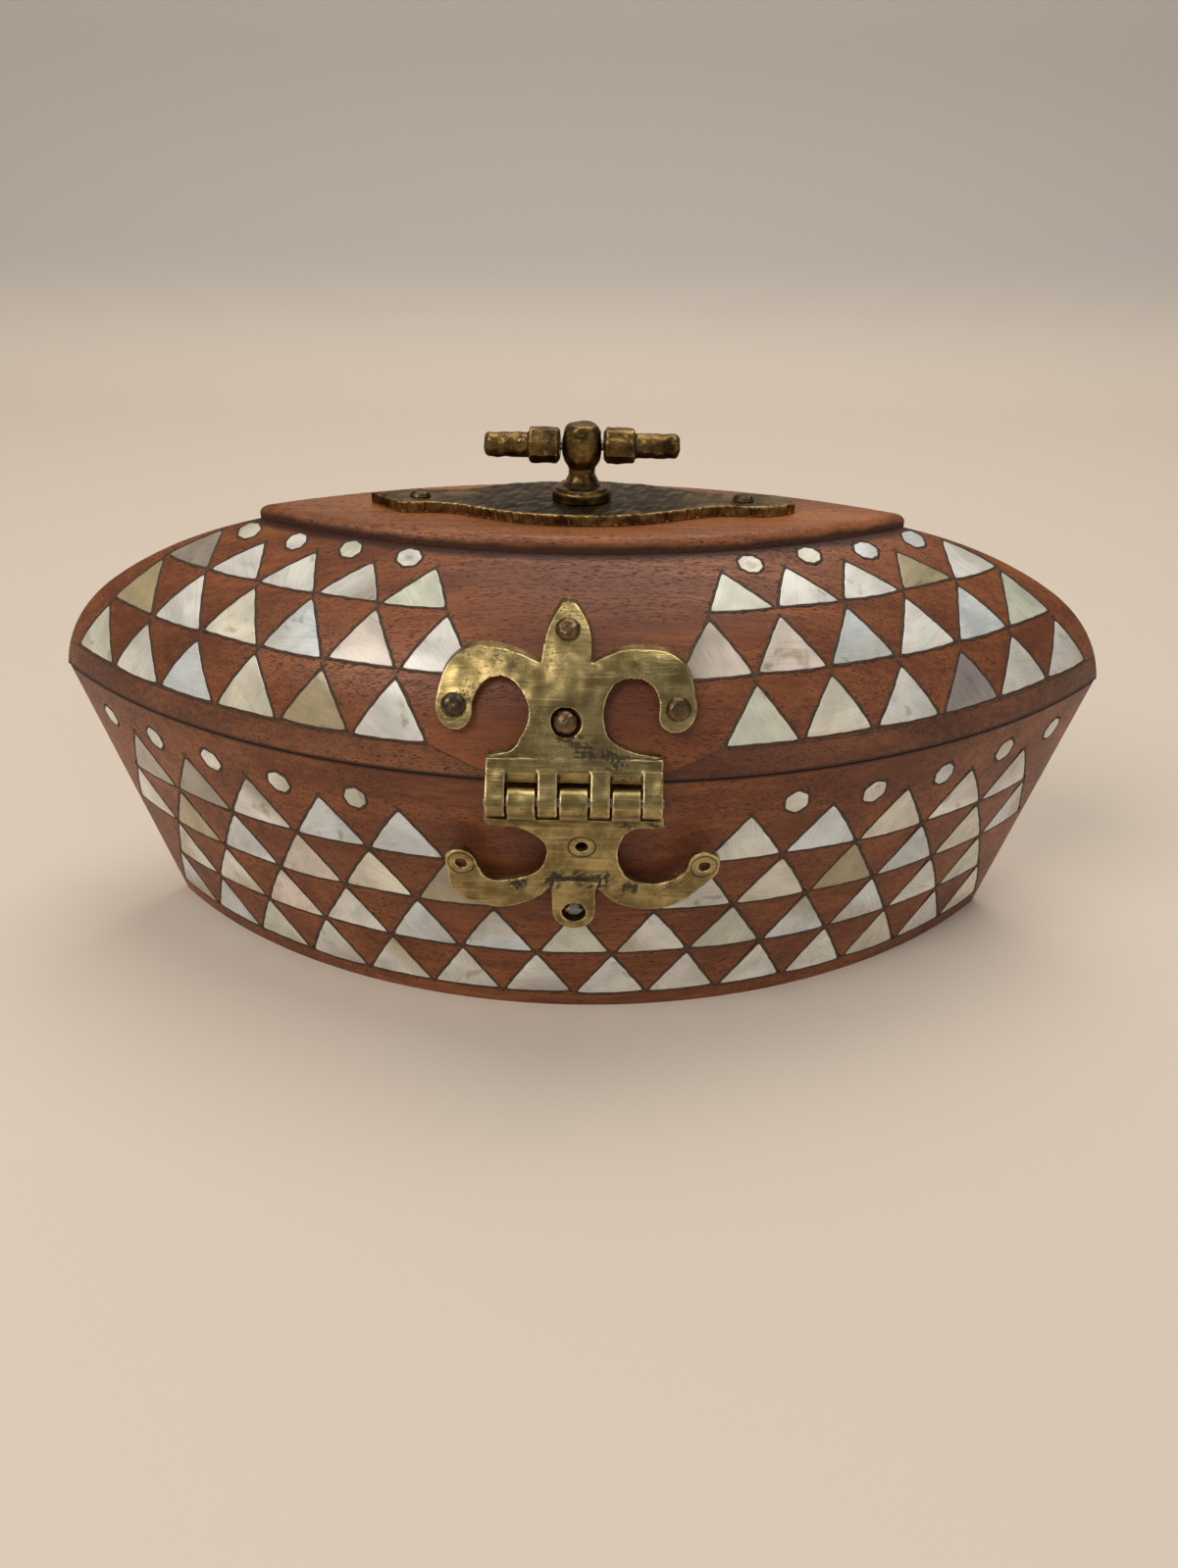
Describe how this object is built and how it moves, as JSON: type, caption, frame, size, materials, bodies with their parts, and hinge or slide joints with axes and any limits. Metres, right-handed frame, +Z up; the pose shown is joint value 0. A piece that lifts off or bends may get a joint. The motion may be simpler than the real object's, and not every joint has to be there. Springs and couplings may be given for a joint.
{
  "type": "marquetry box",
  "caption": "Pointed oval wooden box with a domed hinged lid, mother-of-pearl triangle inlay, a brass ornamental hasp and a brass bar handle.",
  "frame": {"origin": "centre of the flat underside", "axes": "+X along the length, -Y the front with the hasp, +Z up"},
  "size_m": [0.28, 0.1414, 0.1392],
  "materials": {
    "wood": "waxed satin, reddish brown",
    "strip_wood": "waxed satin, darker brown",
    "pearl": "polished mother-of-pearl shell",
    "brass": "filed cast brass, worn",
    "old_brass": "dark patina, rubbed edges",
    "nail_brass": "bronzed domes",
    "iron": "dark wrought iron",
    "steel": "dull steel wire"
  },
  "bodies": {
    "base": {"bottom_board": "wood", "base_front_wall": "wood", "base_back_wall": "wood", "base_front_triangles": "pearl", "base_back_triangles": "pearl", "base_front_roundels": "pearl", "base_back_roundels": "pearl", "bottom_nails": "iron", "hasp_peg": "iron", "hinge_lower_leaf": "brass", "hinge_lower_nails": "nail_brass"},
    "lid": {"lid_front_side": "wood", "lid_back_side": "wood", "lid_top_board": "wood", "lid_rim_strips": "strip_wood", "lid_front_triangles": "pearl", "lid_back_triangles": "pearl", "lid_front_roundels": "pearl", "lid_back_roundels": "pearl", "hasp_upper_leaf": "brass", "hasp_nails": "nail_brass", "hasp_pin": "steel", "hinge_upper_leaf": "brass", "hinge_upper_nails": "nail_brass", "hinge_pin": "steel", "handle_plate": "old_brass", "plate_nails": "nail_brass", "handle_post": "old_brass", "post_washer": "brass"},
    "hasp": {"hasp_swinging_leaf": "brass"},
    "handle_bar": {"handle_pin": "steel", "handle_right_arm": "old_brass", "handle_left_arm": "old_brass"}
  },
  "joints": [
    {"name": "lid_hinge", "type": "hinge", "parent": "base", "child": "lid", "pos_m": [0, 0.0672, 0.069], "axis": [-1, 0, 0], "range_deg": [0, 105]},
    {"name": "hasp_hinge", "type": "hinge", "parent": "lid", "child": "hasp", "pos_m": [0, -0.0672, 0.069], "axis": [-1, 0, 0], "range_deg": [-2, 160]},
    {"name": "bar_spin", "type": "hinge", "parent": "lid", "child": "handle_bar", "pos_m": [0, 0, 0.1331], "axis": [1, 0, 0], "continuous": true}
  ]
}
